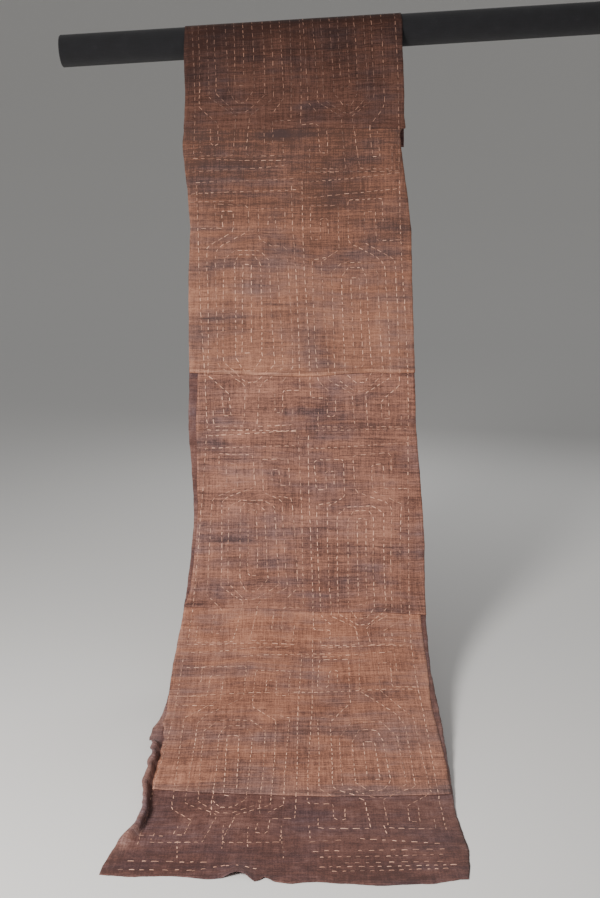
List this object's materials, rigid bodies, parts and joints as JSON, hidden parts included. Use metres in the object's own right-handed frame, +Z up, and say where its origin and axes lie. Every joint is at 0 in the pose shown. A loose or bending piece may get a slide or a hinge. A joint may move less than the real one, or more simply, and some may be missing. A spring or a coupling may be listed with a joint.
{
  "type": "kuba cloth over a rod",
  "caption": "Long, narrow raffia cloth of lapped orange-brown panels sewn on a dark ground, falling over a plain padded rod and running out onto the floor.",
  "frame": {"origin": "on the floor, under the middle of the whole part's box", "axes": "+Z up, the cloth's stitched face and its hem on the floor towards -Y, +X to the right as the face is seen, where the rod's higher end is"},
  "size_m": [1.7524, 1.9157, 1.9878],
  "materials": {
    "ground_raffia": "dark purple-brown plain-woven raffia, matt with a faint fibre sheen",
    "panel_raffia": "orange-brown plain-woven raffia streaked across with darker wefts, matt with a faint fibre sheen",
    "stitch_raffia": "pale pinkish-cream raffia thread in flat running stitches",
    "rod_padding": "plain black felt padding"
  },
  "bodies": {
    "root": {"ground_cloth": "ground_raffia", "panel_1": "panel_raffia", "panel_2": "panel_raffia", "panel_3": "panel_raffia", "panel_4": "panel_raffia", "rod": "rod_padding"}
  },
  "joints": []
}
